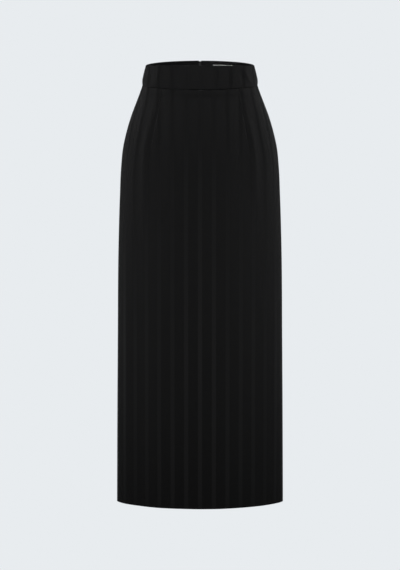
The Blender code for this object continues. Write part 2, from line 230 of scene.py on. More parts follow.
# A piece's cut, as far as it shows: its greatest width and length, its area, and what it hangs from.
Flat = namedtuple("Flat", "size area on")
FRONT_FLAT = Flat((0.442, 0.947), 0.407, "band_front_cloth")
BACK_FLAT = Flat((0.233, 0.954), 0.217, "band_front_cloth")
FRONT_BAND_FLAT = Flat((0.340, 0.053), 0.0161, ())
BACK_BAND_FLAT = Flat((0.172, 0.049), 0.0076, ())
TAPE_FLAT = Flat((0.012, 0.187), 0.00224, "band_front_cloth")
LABEL_FLAT = Flat((0.046, 0.012), 0.00055, "band_front_cloth")

QUARTER_STEPS = 240
NORMAL_TURN = 0.01
NORMAL_DROP = 0.001
SHARP_ANGLE = 50
TINY = 1e-6


# The surface


def column(field, drops):
    """A column of the ring table at these drops: a cubic through its rows."""
    rows = np.array([ring.drop for ring in RINGS])
    values = np.array([getattr(ring, field) for ring in RINGS])
    slopes = np.gradient(values, rows)
    at = np.clip(np.searchsorted(rows, drops) - 1, 0, len(rows) - 2)
    step = rows[at + 1] - rows[at]
    t = (drops - rows[at]) / step
    start = (1 + 2 * t) * (1 - t) ** 2 * values[at] + t * (1 - t) ** 2 * step * slopes[at]
    end = t * t * (3 - 2 * t) * values[at + 1] + t * t * (t - 1) * step * slopes[at + 1]
    return start + end


@lru_cache(maxsize=None)
def ring_at(drop):
    return Ring(drop, *(float(column(field, drop)) for field in Ring._fields[1:]))


@lru_cache(maxsize=None)
def quarter(drop, depth_field):
    """A quarter of a ring, from its centre line to the side seam: lengths along it, widths and depths."""
    ring = ring_at(drop)
    angles = np.linspace(0, math.pi / 2, QUARTER_STEPS + 1)
    widths = ring.side * np.sin(angles)
    depths = getattr(ring, depth_field) * np.abs(np.cos(angles)) ** (2 * ring.pinch)
    steps = np.hypot(np.diff(widths), np.diff(depths))
    return np.concatenate(([0], np.cumsum(steps))), widths, depths


def quarter_length(drop, depth_field):
    return float(quarter(drop, depth_field)[0][-1])


def quarter_lengths(drops, depth_field):
    """The quarters' lengths, in a row for each drop."""
    return np.array([quarter_length(drop, depth_field) for drop in drops])[:, None]


def ring_points(drop, turns):
    """Points of the cloth's outer face along one ring."""
    drop = min(max(float(drop), 0.0), LENGTH)
    ring = ring_at(drop)
    turns = (turns + 2) % 4 - 2
    points = np.empty((len(turns), 3))
    for depth_field, way, rise in (("front", -1, -ring.dip), ("back", 1, ring.lift)):
        here = np.abs(turns) <= 1 if depth_field == "front" else np.abs(turns) > 1
        lengths, widths, depths = quarter(drop, depth_field)
        share = np.abs(turns[here]) if depth_field == "front" else 2 - np.abs(turns[here])
        along = share * lengths[-1]
        depth = np.interp(along, lengths, depths)
        points[here, 0] = np.copysign(np.interp(along, lengths, widths), turns[here])
        points[here, 1] = way * depth
        points[here, 2] = RIM_Z - drop + rise * depth / depths[0]
    return points


def surface(drops, turns):
    """Points of the cloth's outer face. turns has a row for each drop."""
    return np.stack([ring_points(drop, row) for drop, row in zip(drops, turns)])


def outward(drops, turns):
    """The surface's outward normals, over a short stretch so that they turn gently at the side seams."""
    drops = np.asarray(drops)
    across = surface(drops, turns + NORMAL_TURN) - surface(drops, turns - NORMAL_TURN)
    down = surface(drops + NORMAL_DROP, turns) - surface(drops - NORMAL_DROP, turns)
    normals = np.cross(down, across)
    return normals / np.linalg.norm(normals, axis=-1, keepdims=True)


# Creases


def ease(x):
    """0 below 0, 1 above 1, and a smooth rise between."""
    x = np.clip(x, 0.0, 1.0)
    return x * x * (3 - 2 * x)


def bell(x):
    """1 at 0, falling smoothly to nearly 0 by 2 and -2."""
    return np.exp(-(x**2))


# A soft trough (depth below 0) or ridge in the cloth. It runs from one turn and drop to another, half_wide is
# in turns, and it fades in and out over fade_top and fade_bottom of its length.
Crease = namedtuple("Crease", "turn drop turn_end drop_end half_wide depth fade_top fade_bottom")
CREASES = (
    # Waistband
    Crease(0.61, 0.003, 0.77, 0.043, 0.030, 0.00150, 0.35, 0.35),
    Crease(0.54, 0.006, 0.67, 0.042, 0.040, -0.00080, 0.40, 0.40),
    Crease(-0.60, 0.002, -0.58, 0.044, 0.050, 0.00090, 0.40, 0.40),
    Crease(-0.72, 0.010, -0.70, 0.042, 0.045, -0.00050, 0.50, 0.50),
    Crease(1.34, 0.004, 1.22, 0.042, 0.040, 0.00060, 0.35, 0.35),
    Crease(-1.28, 0.006, -1.42, 0.042, 0.035, 0.00055, 0.35, 0.35),
    Crease(-1.20, 0.004, -1.30, 0.042, 0.040, -0.00045, 0.40, 0.40),
    # Front, below the waist and over the hips
    Crease(-0.57, 0.070, -0.60, 0.420, 0.040, 0.00380, 0.30, 0.60),
    Crease(-0.86, 0.060, -0.86, 0.460, 0.090, -0.00130, 0.40, 0.60),
    Crease(-0.43, 0.060, -0.44, 0.330, 0.042, -0.00120, 0.40, 0.60),
    Crease(0.55, 0.080, 0.60, 0.400, 0.042, 0.00380, 0.30, 0.60),
    Crease(0.88, 0.070, 0.87, 0.440, 0.090, -0.00150, 0.40, 0.60),
    Crease(0.44, 0.080, 0.45, 0.320, 0.045, -0.00100, 0.50, 0.60),
    Crease(0.84, 0.110, 0.85, 0.400, 0.013, 0.00050, 0.40, 0.50),
    Crease(-0.31, 0.070, -0.30, 0.360, 0.035, 0.00050, 0.50, 0.60),
    Crease(0.545, 0.135, 0.550, 0.240, 0.010, 0.00035, 0.50, 0.50),
    Crease(0.12, 0.052, 0.30, 0.086, 0.090, -0.00035, 0.50, 0.50),
    Crease(-0.40, 0.050, -0.22, 0.074, 0.090, 0.00030, 0.50, 0.50),
    # Front, down the skirt
    Crease(-0.83, 0.240, -0.80, 1.060, 0.060, 0.00110, 0.45, 0.30),
    Crease(-0.66, 0.300, -0.64, 1.100, 0.060, -0.00080, 0.50, 0.25),
    Crease(-0.42, 0.420, -0.45, 1.120, 0.085, 0.00085, 0.55, 0.20),
    Crease(-0.14, 0.520, -0.12, 1.120, 0.075, -0.00060, 0.60, 0.25),
    Crease(0.17, 0.380, 0.20, 1.110, 0.095, 0.00070, 0.55, 0.25),
    Crease(0.47, 0.560, 0.44, 1.120, 0.070, -0.00085, 0.60, 0.20),
    Crease(0.67, 0.340, 0.70, 1.080, 0.055, 0.00080, 0.45, 0.30),
    Crease(0.86, 0.260, 0.83, 1.040, 0.055, 0.00090, 0.50, 0.35),
    # Back, below the waist and over the seat
    Crease(1.46, 0.080, 1.41, 0.390, 0.042, 0.00300, 0.30, 0.60),
    Crease(-1.44, 0.090, -1.40, 0.360, 0.044, 0.00260, 0.35, 0.60),
    Crease(1.58, 0.070, 1.57, 0.300, 0.045, -0.00100, 0.50, 0.60),
    Crease(-1.57, 0.080, -1.56, 0.330, 0.042, -0.00110, 0.40, 0.60),
    Crease(1.82, 0.052, 1.66, 0.082, 0.080, 0.00030, 0.50, 0.50),
    Crease(-1.74, 0.054, -1.88, 0.090, 0.080, -0.00030, 0.50, 0.50),
    Crease(1.16, 0.070, 1.14, 0.430, 0.085, -0.00120, 0.40, 0.60),
    Crease(-1.15, 0.060, -1.14, 0.450, 0.090, -0.00130, 0.40, 0.60),
    # Back, down the skirt
    Crease(1.17, 0.280, 1.20, 1.090, 0.060, -0.00100, 0.50, 0.25),
    Crease(1.36, 0.330, 1.33, 1.120, 0.070, 0.00150, 0.55, 0.20),
    Crease(1.57, 0.260, 1.60, 1.110, 0.060, -0.00130, 0.45, 0.25),
    Crease(1.78, 0.300, 1.75, 1.090, 0.070, 0.00140, 0.50, 0.25),
    Crease(1.97, 0.480, 2.02, 1.120, 0.060, -0.00080, 0.60, 0.20),
    Crease(-1.76, 0.340, -1.79, 1.110, 0.065, 0.00120, 0.50, 0.25),
    Crease(-1.55, 0.290, -1.52, 1.080, 0.060, -0.00150, 0.45, 0.30),
    Crease(-1.34, 0.400, -1.38, 1.120, 0.075, 0.00130, 0.60, 0.20),
    Crease(-1.15, 0.300, -1.14, 1.060, 0.055, -0.00080, 0.50, 0.30),
)

# Small ripples where a seam gathers the cloth a little: how long they are round the skirt, how high and how
# far they reach, and where they start.
Ripple = namedtuple("Ripple", "waves height start")
WAIST_RIPPLES = (Ripple(31, 0.00008, 0.4), Ripple(47, 0.00007, 2.1), Ripple(73, 0.00005, 4.0))
HEM_RIPPLES = (Ripple(9, 0.00018, 1.3), Ripple(16, 0.00014, 3.6), Ripple(27, 0.00008, 0.2))
WAIST_RIPPLE_REACH = 0.014
HEM_RIPPLE_REACH = 0.060


def ripples(table, turns):
    return sum(ripple.height * np.sin(ripple.waves * turns * math.pi / 2 + ripple.start) for ripple in table)


def relief(drops, turns):
    """How far the creases and ripples move the cloth outward."""
    drop = np.asarray(drops)[:, None]
    moved = np.zeros(turns.shape)
    for crease in CREASES:
        along = (drop - crease.drop) / (crease.drop_end - crease.drop)
        middle = crease.turn + (crease.turn_end - crease.turn) * along
        away = (turns - middle + 2) % 4 - 2
        fade = ease(along / crease.fade_top) * ease((1 - along) / crease.fade_bottom)
        moved += crease.depth * bell(away / crease.half_wide) * fade
    below_waist = np.maximum(drop - BAND_HEIGHT, 0.0)
    hollow = ease((below_waist - WAIST_ALLOWANCE) / (WAIST_HOLLOW_FULL - BAND_HEIGHT - WAIST_ALLOWANCE))
    off_sides = 1 - bell((np.abs(turns) - 1) / WAIST_HOLLOW_SIDES)
    moved -= WAIST_HOLLOW * hollow * off_sides * ease((WAIST_HOLLOW_END - drop) / WAIST_HOLLOW_FADE)
    moved += ripples(WAIST_RIPPLES, turns) * np.exp(-below_waist / WAIST_RIPPLE_REACH) * (drop > BAND_HEIGHT)
    return moved + ripples(HEM_RIPPLES, turns) * np.exp((drop - LENGTH) / HEM_RIPPLE_REACH)


# Shells

CLOTH_MAP = "cloth"


def moved_out(drops, turns, amounts):
    """The surface's points, with the creases, moved outward by these amounts."""
    return surface(drops, turns) + outward(drops, turns) * (relief(drops, turns) + amounts)[..., None]


def grid_cells(rows, columns):
    """Corner rows and columns of the cells of a grid, four to a cell, from the top left against the clock."""
    row, station = np.meshgrid(np.arange(rows - 1), np.arange(columns - 1), indexing="ij")
    row = row.ravel()
    station = station.ravel()
    corner_rows = np.stack([row, row + 1, row + 1, row], -1)
    return corner_rows, np.stack([station, station, station + 1, station + 1], -1)


def rim_cells(rows, columns):
    """The cells that close a shell's edges: each corner's layer (0 outer, 1 inner), row and column."""
    cells = []
    for at in range(columns - 1):
        last = rows - 1
        cells.append(((0, 0, at), (0, 0, at + 1), (1, 0, at + 1), (1, 0, at)))
        cells.append(((0, last, at), (1, last, at), (1, last, at + 1), (0, last, at + 1)))
    for at in range(rows - 1):
        last = columns - 1
        cells.append(((0, at, 0), (1, at, 0), (1, at + 1, 0), (0, at + 1, 0)))
        cells.append(((0, at, last), (0, at + 1, last), (1, at + 1, last), (1, at, last)))
    return np.array(cells)


def add_shell(name, drops, turns, outs, across, materials):
    """A closed shell along the surface, made of grids with a row for each drop.

    outs: how far out its outer and its inner face lie. across: how far across the cloth a column lies, for
    the cells on its left and on its right, which differ where a dart has taken cloth in. The inner face has
    the last of the materials.
    """
    before, after = across
    outer, inner = [moved_out(drops, turns, out) for out in outs]
    rows, columns = turns.shape
    row, at = grid_cells(rows, columns)
    faces = row * columns + at
    face_across = np.where([True, True, False, False], after[row, at], before[row, at])
    down = drops[row]
    rim = rim_cells(rows, columns)
    rim_faces = rim[..., 0] * rows * columns + rim[..., 1] * columns + rim[..., 2]
    all_faces = np.concatenate([faces, faces[:, ::-1] + rows * columns, rim_faces])
    rim_across = after[rim[..., 1], rim[..., 2]]
    all_across = np.concatenate([face_across, face_across[:, ::-1], rim_across])
    all_down = np.concatenate([down, down[:, ::-1], drops[rim[..., 1]]])

    mesh = bpy.data.meshes.new(name)
    points = np.concatenate([outer.reshape(-1, 3), inner.reshape(-1, 3)])
    mesh.from_pydata(points.tolist(), [], all_faces.tolist())
    cloth_map = mesh.uv_layers.new(name=CLOTH_MAP)
    cloth_map.uv.foreach_set("vector", np.stack([all_across, all_down], -1).astype(np.float32).ravel())
    for material in materials:
        mesh.materials.append(material)
    inside = np.zeros(len(all_faces), np.int32)
    inside[len(faces) : 2 * len(faces)] = len(materials) - 1
    mesh.polygons.foreach_set("material_index", inside)
    mesh.shade_smooth()
    mesh.set_sharp_from_angle(angle=math.radians(SHARP_ANGLE))
    return place(name, mesh)


def place(name, data):
    obj = bpy.data.objects.new(name, data)
    bpy.context.scene.collection.objects.link(obj)
    return obj


def on_side(side, turns, outs, across):
    """A back piece's grids, which run from the centre back, laid out on the wearer's left or right."""
    if side == "right":
        return turns - 2, outs, [-grid for grid in across]
    return 2 - turns[:, ::-1], [grid[:, ::-1] for grid in outs], [grid[:, ::-1] for grid in across[::-1]]


def between(marks, cells):
    """The marks, with so many even cells between each and the next."""
    parts = [np.linspace(start, end, count + 1)[1:] for start, end, count in zip(marks, marks[1:], cells)]
    return np.concatenate([[marks[0]], *parts])


def inset(start, end, near):
    """Marks from one edge to the other, with one near each edge."""
    return start, start + near, end - near, end


def rounded(distance, radius):
    """How far a face draws back this near its rounded edge."""
    reach = np.clip(radius - distance, 0.0, radius)
    return radius - np.sqrt(radius**2 - reach**2)


# Skirt panels

# The turned hem's cut edge: its drop, and where the step over it starts and how long it is.
TURN_UP = LENGTH - HEM_TURN
TURN_STEP_ABOVE = 0.0002
TURN_STEP = 0.0005

# The panels' rows, closest together at the waist seam, the turned hem's cut edge and the hem.
PANEL_ROW_MARKS = (BAND_HEIGHT, BAND_HEIGHT + 0.0030, BAND_HEIGHT + 0.0160, 0.1000, 0.2600)
PANEL_ROW_MARKS += (TURN_UP - 0.0020, TURN_UP - 0.0002, TURN_UP + 0.0003, TURN_UP + 0.0020)
PANEL_ROW_MARKS += (LENGTH - 0.0030, LENGTH - 0.0010, LENGTH - 0.0003, LENGTH)
PANEL_ROW_CELLS = (5, 12, 11, 36, 104, 2, 1, 2, 5, 3, 2, 2)


def dart_fade(dart, drops):
    """1 at the waist seam, 0 from the dart's tip down."""
    return np.clip((dart.tip_drop - drops) / (dart.tip_drop - BAND_HEIGHT), 0.0, 1.0)


def dart_line(dart, drop, depth_field):
    """How far the dart's line, or the cloth under its tip, lies from the centre."""
    level = min(drop, dart.tip_drop)
    length = dart.at_tip + (dart.at_waist - dart.at_tip) * float(dart_fade(dart, level))
    return length / quarter_length(level, depth_field) * quarter_length(drop, depth_field)


# A half of the cloth's panels, from the centre to the side seam: away is how far each station lies from the
# centre along the cloth, to_line from the dart's line, to_side from the side seam, and under how far the
# dart's folded cloth reaches. Its columns are closest together at the centre, the folded cloth's edge, the
# dart's line and the side seam.
Half = namedtuple("Half", "away to_line to_side under")
NEAR_CENTRE = 0.0020
NEAR_FOLD = 0.0004
NEAR_LINE = 0.0012
NEAR_SIDE = 0.0040
NEAREST_SIDE = 0.0010
PANEL_COLUMN_CELLS = (2, 26, 1, 6, 2, 2, 32, 3, 2)
LINE_COLUMN = sum(PANEL_COLUMN_CELLS[:5])


def half_panel(dart, drops, depth_field):
    away, to_line, to_side, unders = [], [], [], []
    for drop in drops:
        end = quarter_length(drop, depth_field)
        line = dart_line(dart, drop, depth_field)
        under = DART_UNDER + dart.intake / 2 * float(dart_fade(dart, drop))
        fold = line - under
        marks = (0.0, NEAR_CENTRE, fold - NEAR_FOLD, fold, line - NEAR_LINE, line, line + NEAR_LINE)
        marks += (end - NEAR_SIDE, end - NEAREST_SIDE, end)
        row = between(marks, PANEL_COLUMN_CELLS)
        away.append(row)
        to_line.append(row - line)
        to_side.append(end - row)
        unders.append(np.full(len(row), under))
    return Half(np.array(away), np.array(to_line), np.array(to_side), np.array(unders))


def seam_relief(away):
    """A pressed seam, this far away: its turnings raise the cloth a little, and its stitches draw it in."""
    raised = SEAM_RIDGE * bell(away / SEAM_RIDGE_REACH)
    return raised - SEAM_DIP * bell(away / SEAM_SOFT)


def panel_outer(dart, drops, half, to_centre_seam=None):
    """How far out the panel's face lies: sunk along its seams and dart, raised over the waist's turning."""
    drop = np.asarray(drops)[:, None]
    fade = dart_fade(dart, drop)
    out = seam_relief(half.to_side)
    if to_centre_seam is not None:
        out += seam_relief(to_centre_seam)
    out -= DART_DIP * bell(half.to_line / DART_SOFT) * ease(fade / DART_DIP_FADE)
    out -= WAIST_DIP * bell((drop - BAND_HEIGHT) / WAIST_DIP_REACH)
    out += WAIST_PRESS * ease((BAND_HEIGHT + WAIST_ALLOWANCE - drop) / WAIST_PRESS_FADE)
    return out - rounded(LENGTH - drop, HEM_ROUND)


def panel_inner(dart, drops, half, seam_layers):
    """How far out the panel's inner face lies, under its turned hem, folded dart and turnings."""
    drop = np.asarray(drops)[:, None]
    under = (half.to_line < 0) & (half.to_line > -half.under + TINY)
    folded = DART_FOLD * under * ease(dart_fade(dart, drop) / DART_FOLD_FADE)
    edge = ALLOWANCE_THICK * seam_layers
    turned = CLOTH * ease((drop - TURN_UP + TURN_STEP_ABOVE) / TURN_STEP)
    return -CLOTH - np.maximum(np.maximum(folded, edge), turned) + rounded(LENGTH - drop, HEM_ROUND)


def side_layers(half, drops):
    """1 where the side seam's turning or the waist seam's lies inside."""
    drop = np.asarray(drops)[:, None]
    side = ease((ALLOWANCE - half.to_side) / CUT_EDGE)
    waist = ease((BAND_HEIGHT + WAIST_ALLOWANCE - drop) / CUT_EDGE)
    return np.maximum(side, waist)


def half_across(dart, drops, half, start):
    """How far across the cloth a half's columns lie, for the cells on either side. start: the centre's."""
    taken = dart.intake * dart_fade(dart, drops)[:, None]
    columns = np.arange(half.away.shape[1])
    past_line = (columns > LINE_COLUMN, columns >= LINE_COLUMN)
    return [half.away + start + taken * past for past in past_line]


def whole(right, left):
    """A grid of the whole front, from its halves, which both start with the centre's column."""
    return np.concatenate([right[:, :0:-1], left], axis=1)


def add_front_panel(materials):
    drops = between(PANEL_ROW_MARKS, PANEL_ROW_CELLS)
    half = half_panel(FRONT_DART, drops, "front")
    outer_half = panel_outer(FRONT_DART, drops, half)
    inner_half = panel_inner(FRONT_DART, drops, half, side_layers(half, drops))
    half_turns = half.away / quarter_lengths(drops, "front")
    before, after = half_across(FRONT_DART, drops, half, 0.0)
    outs = [whole(out, out) for out in (outer_half, inner_half)]
    across = whole(-after, before), whole(-before, after)
    return add_shell("front_cloth", drops, whole(-half_turns, half_turns), outs, across, materials)


# The turnings keep clear of the zip: how far below its end and beside its tapes, and how soon they are full.
CLEAR_BELOW_ZIP = 0.004
CLEAR_BESIDE_ZIP = 0.002
CLEAR_FADE = 0.001


def add_back_panel(side, materials):
    drops = between(PANEL_ROW_MARKS, PANEL_ROW_CELLS)
    half = half_panel(BACK_DART, drops, "back")
    past_zip = ease((drops[:, None] - ZIP_END - CLEAR_BELOW_ZIP) / CLEAR_FADE)
    centre_turning = ease((ALLOWANCE - half.away) / CUT_EDGE) * past_zip
    clear_of_tape = ease((half.away - TAPE_WIDTH - CLEAR_BESIDE_ZIP) / CLEAR_FADE)
    layers = np.maximum(side_layers(half, drops) * clear_of_tape, centre_turning)
    outs = [panel_outer(BACK_DART, drops, half, half.away), panel_inner(BACK_DART, drops, half, layers)]
    across = half_across(BACK_DART, drops, half, STRIPE_APART / 2)
    grids = on_side(side, half.away / quarter_lengths(drops, "back"), outs, across)
    return add_shell("back_cloth_" + side, drops, *grids, materials)


# Waistband

BAND_ROW_MARKS = (0.0, 0.0010, BAND_HEIGHT - 0.0010, BAND_HEIGHT)
BAND_ROW_CELLS = (5, 22, 5)
NEAR_BAND_END = 0.003
HALF_FRONT_BAND_CELLS = (56, 4)
BACK_BAND_CELLS = (4, 52, 4)

# How much of a seam's dip shows inside the band, and how much tighter its dip is where it ends at the zip.
BAND_DIP_INSIDE = 0.5
ZIP_DIP_TIGHTER = 1.6


def band_rows():
    """Rows of the band, closest together where its edges are rounded."""
    rows = between(BAND_ROW_MARKS, BAND_ROW_CELLS)
    return np.sort(np.append(rows, NOTCH_DROP))


def band_faces(drops, to_seams):
    """How far out the band's outer and inner faces lie, sunk where it is seamed."""
    drop = drops[:, None]
    dip = sum(SEAM_DIP * bell(to_seam / SEAM_SOFT) for to_seam in to_seams)
    outer = BAND_PROUD - rounded(drop, BAND_EDGE) - rounded(BAND_HEIGHT - drop, BAND_EDGE) - dip
    inner = -CLOTH + rounded(drop, BAND_EDGE) + dip * BAND_DIP_INSIDE
    return outer, inner


def band_across(away):
    """How far across its own cloth a station of the band lies. Its stripes don't quite meet the panel's."""
    return (away + BAND_SHIFT) * BAND_STRETCH


def add_front_band(materials):
    drops = band_rows()
    lengths = quarter_lengths(drops, "front")
    marks = [(0.0, end - NEAR_BAND_END, end) for end in lengths[:, 0]]
    half = np.array([between(row, HALF_FRONT_BAND_CELLS) for row in marks])
    away = whole(-half, half)
    outs = band_faces(drops, [lengths - np.abs(away)])
    across = band_across(away)
    return add_shell("band_front_cloth", drops, away / lengths, outs, [across, across], materials)


def zip_half(drops):
    """Half the gap between the band's ends: a notch with soft corners at the rim, closed further down."""
    opening = np.clip(1 - drops / NOTCH_DROP, 0.0, 1.0)
    corner = np.clip(1 - drops / NOTCH_ROUND, 0.0, 1.0) ** 2 * NOTCH_CORNER
    return NOTCH_HALF * opening + corner


def add_back_band(side, materials):
    drops = band_rows()
    lengths = quarter_lengths(drops, "back")
    starts = zip_half(drops)
    marks = [inset(start, end, NEAR_BAND_END) for start, end in zip(starts, lengths[:, 0])]
    away = np.array([between(row, BACK_BAND_CELLS) for row in marks])
    outs = band_faces(drops, [lengths - away, (away - starts[:, None]) * ZIP_DIP_TIGHTER])
    across = away + STRIPE_APART / 2
    grids = on_side(side, away / lengths, outs, [across, across])
    return add_shell("band_back_cloth_" + side, drops, *grids, materials)


# Zip and label


def add_strip(name, drops, aways, outs, material):
    """A woven strip inside the back. aways: how far its stations lie from the centre back, + to the left."""
    turns = 2 - aways / quarter_lengths(drops, "back")
    return add_shell(name, drops, turns, outs, [aways, aways], [material])


# The tapes' and the label's cells, and how near their edges the closest rows and columns lie.
NEAR_STRIP_END = 0.0006
NEAR_TAPE_EDGE = 0.0010
TAPE_ROW_CELLS = (2, 60, 2)
TAPE_COLUMN_CELLS = (2, 8, 3)
LABEL_ROW_CELLS = (2, 8, 2)
LABEL_COLUMN_CELLS = (2, 3, 20, 3, 2)


def add_zip_tape(side, material):
    """A zip tape: flat on the cloth, thicker along its woven edges, and waved beyond its stitches."""
    drops = between(inset(TAPE_TOP, ZIP_END, NEAR_STRIP_END), TAPE_ROW_CELLS)
    starts = zip_half(drops)
    marks = [inset(start, start + TAPE_WIDTH, NEAR_TAPE_EDGE) for start in starts]
    away = np.array([between(row, TAPE_COLUMN_CELLS) for row in marks])
    to_edge = np.minimum(away - starts[:, None], starts[:, None] + TAPE_WIDTH - away)
    woven_edge = TAPE_RIB * bell((to_edge - TAPE_RIB_IN) / TAPE_RIB_WIDE)
    wave = TAPE_WAVE * np.sin(drops[:, None] * TAPE_WAVES) * ease((away - TAPE_WAVE_IN) / TAPE_WAVE_FADE)
    outer_out = np.full(away.shape, TAPE_OUT)
    inner_out = TAPE_OUT - TAPE_THICK - woven_edge - wave
    if side == "left":
        away = away[:, ::-1]
        inner_out = inner_out[:, ::-1]
    else:
        away = -away
    return add_strip("zip_tape_cloth_" + side, drops, away, [outer_out, inner_out], material)


def add_label(material):
    """The blank label: a woven ribbon, folded under at both ends and bowed a little between them."""
    drops = between(inset(LABEL_TOP, LABEL_TOP + LABEL_HIGH, NEAR_STRIP_END), LABEL_ROW_CELLS)
    far = LABEL_AWAY + LABEL_WIDE
    marks = inset(LABEL_AWAY, far, NEAR_STRIP_END) + (LABEL_AWAY + LABEL_FOLD, far - LABEL_FOLD)
    row = between(sorted(marks), LABEL_COLUMN_CELLS)
    away = np.tile(row[::-1], (len(drops), 1))
    share = (away - LABEL_AWAY) / LABEL_WIDE
    swing = 1 - LABEL_BOW_SWING + LABEL_BOW_SWING * np.cos((drops[:, None] - LABEL_TOP) * LABEL_BOW_WAVES)
    bow = LABEL_BOW * np.sin(share * math.pi) ** 2 * swing
    to_end = np.minimum(away - LABEL_AWAY, far - away)
    folded = LABEL_THICK * LABEL_FOLD_THICK * ease((LABEL_FOLD - to_end) / CUT_EDGE)
    outer_out = LABEL_OUT - bow
    inner_out = outer_out - LABEL_THICK - folded
    return add_strip("label_ribbon", drops, away, [outer_out, inner_out], material)


def spots(drops, turns, amounts):
    """Places on the cloth for small things: their points, and the ways across, down and outward there."""
    drops = np.asarray(drops)
    turns = np.asarray(turns)[:, None]
    points = moved_out(drops, turns, np.asarray(amounts)[:, None])[:, 0]
    out = outward(drops, turns)[:, 0]
    down = (surface(drops + NORMAL_DROP, turns) - surface(drops - NORMAL_DROP, turns))[:, 0]
    down /= np.linalg.norm(down, axis=1, keepdims=True)
    return points, np.cross(out, down), down, out


def bead(half_long, half_wide, half_high, blunt=4.0, rings=7, sides=8, bow=0.0):
    """A rounded bar along the first axis: its points and faces. bow draws its middle in on the third axis."""
    points = []
    for t in np.sin(np.linspace(-math.pi / 2, math.pi / 2, rings + 2)[1:-1]):
        size = (1 - abs(t) ** blunt) ** (1 / blunt)
        for angle in np.arange(sides) * 2 * math.pi / sides:
            across = half_wide * size * math.cos(angle)
            high = half_high * size * math.sin(angle) - bow * (1 - t * t)
            points.append((half_long * t, across, high))
    points += [(-half_long, 0.0, 0.0), (half_long, 0.0, 0.0)]
    faces = []
    for ring in range(rings - 1):
        for side in range(sides):
            after = (side + 1) % sides
            near, far = ring * sides, (ring + 1) * sides
            faces.append((near + side, near + after, far + after, far + side))
    start, end = rings * sides, rings * sides + 1
    last = (rings - 1) * sides
    for side in range(sides):
        after = (side + 1) % sides
        faces.append((start, after, side))
        faces.append((end, last + side, last + after))
    return np.array(points), faces


def turned(points, angle):
    """Points turned about the third axis."""
    cosine, sine = math.cos(angle), math.sin(angle)
    return points @ np.array([[cosine, sine, 0], [-sine, cosine, 0], [0, 0, 1]])


# Copies of one small shape: its points and faces, and the spots where they lie.
Copies = namedtuple("Copies", "points faces spots")


def add_copies(name, several, material):
    """One mesh of small shapes, each copied to its spots."""
    all_points = []
    all_faces = []
    count = 0
    for copies in several:
        middles, across, down, out = copies.spots
        axes = np.stack([across, down, out], 1)
        placed = middles[:, None] + np.einsum("pk,nkc->npc", copies.points, axes)
        for _ in range(len(middles)):
            all_faces += [[corner + count for corner in face] for face in copies.faces]
            count += len(copies.points)
        all_points.append(placed.reshape(-1, 3))
    mesh = bpy.data.meshes.new(name)
    mesh.from_pydata(np.concatenate(all_points).tolist(), [], all_faces)
    mesh.materials.append(material)
    mesh.shade_smooth()
    return place(name, mesh)


def zip_spots(drops, away, out):
    """Spots beside the zip's middle: away to the wearer's left of it."""
    drops = np.asarray(drops)
    turns = [2 - away / quarter_length(drop, "back") for drop in drops]
    return spots(drops, turns, np.full(len(drops), out))


def add_zip_teeth(material):
    """The closed coil: its turns from the two sides in between each other, and the stop at its lower end."""
    last = ZIP_END - TEETH_RISE
    tooth, faces = bead(TOOTH_LONG / 2, TOOTH_WIDE / 2, TOOTH_HIGH / 2)
    out = TAPE_OUT - TAPE_THICK - TOOTH_HIGH / 2
    rows = []
    for way, start in ((1, COIL_TOP), (-1, COIL_TOP + TOOTH_APART / 2)):
        drops = np.arange(start, last, TOOTH_APART)
        rows.append(Copies(tooth, faces, zip_spots(drops, way * TOOTH_ASIDE, out)))
    stop, stop_faces = bead(*STOP_HALF, blunt=3.0, rings=9, sides=12)
    rows.append(Copies(stop, stop_faces, zip_spots([ZIP_END - STOP_RISE], 0.0, out)))
    return add_copies("zip_teeth", rows, material)


def thread_bead(stitch, angle):
    """A stitch's points, turned by this angle in degrees from across the cloth, and its faces."""
    sizes = (stitch.half_long, stitch.half_thick, stitch.half_thick)
    points, faces = bead(*sizes, rings=stitch.rings, sides=THREAD_SIDES, bow=stitch.drawn_in)
    return turned(points, math.radians(angle)), faces


def add_stitches(material):
    """The threads that show inside: along the zip tapes, at the label's ends and round the hem's turning."""
    stitch, faces = thread_bead(TAPE_STITCH, 90)
    out = TAPE_OUT - TAPE_THICK - TAPE_STITCH_PROUD
    drops = np.arange(TAPE_TOP + TAPE_STITCH_TOP, ZIP_END - TAPE_STITCH_END, TAPE_STITCH_APART)
    away = TAPE_WIDTH - TAPE_STITCH_IN
    rows = [Copies(stitch, faces, zip_spots(drops, way * away, out)) for way in (1, -1)]

    stitch, faces = thread_bead(LABEL_STITCH, 90)
    out = LABEL_OUT - LABEL_THICK * (1 + LABEL_FOLD_THICK) - LABEL_STITCH_PROUD
    drops = LABEL_TOP + np.linspace(LABEL_STITCH_ENDS, LABEL_HIGH - LABEL_STITCH_ENDS, LABEL_STITCHES)
    for away in (LABEL_AWAY + LABEL_STITCH_IN, LABEL_AWAY + LABEL_WIDE - LABEL_STITCH_IN):
        rows.append(Copies(stitch, faces, zip_spots(drops, away, out)))

    slanted, faces = thread_bead(HEM_STITCH, HEM_STITCH_SLANT)
    slanted[:, 2] -= slanted[:, 1] * HEM_STITCH_TILT
    turns = np.linspace(-2, 2, HEM_STITCHES, endpoint=False) + 2 / HEM_STITCHES
    drops = np.full(HEM_STITCHES, TURN_UP + HEM_STITCH_BELOW)
    outs = np.full(HEM_STITCHES, -CLOTH - HEM_STITCH_PROUD)
    rows.append(Copies(slanted, faces, spots(drops, turns, outs)))
    return add_copies("sewing_thread", rows, material)


# Materials


def feed(tree, sockets, values):
    """Links other nodes' outputs to these sockets, or sets them. values are by socket."""
    for socket, value in values.items():
        if isinstance(value, bpy.types.NodeSocket):
            tree.links.new(value, sockets[socket])
        else:
            sockets[socket].default_value = value


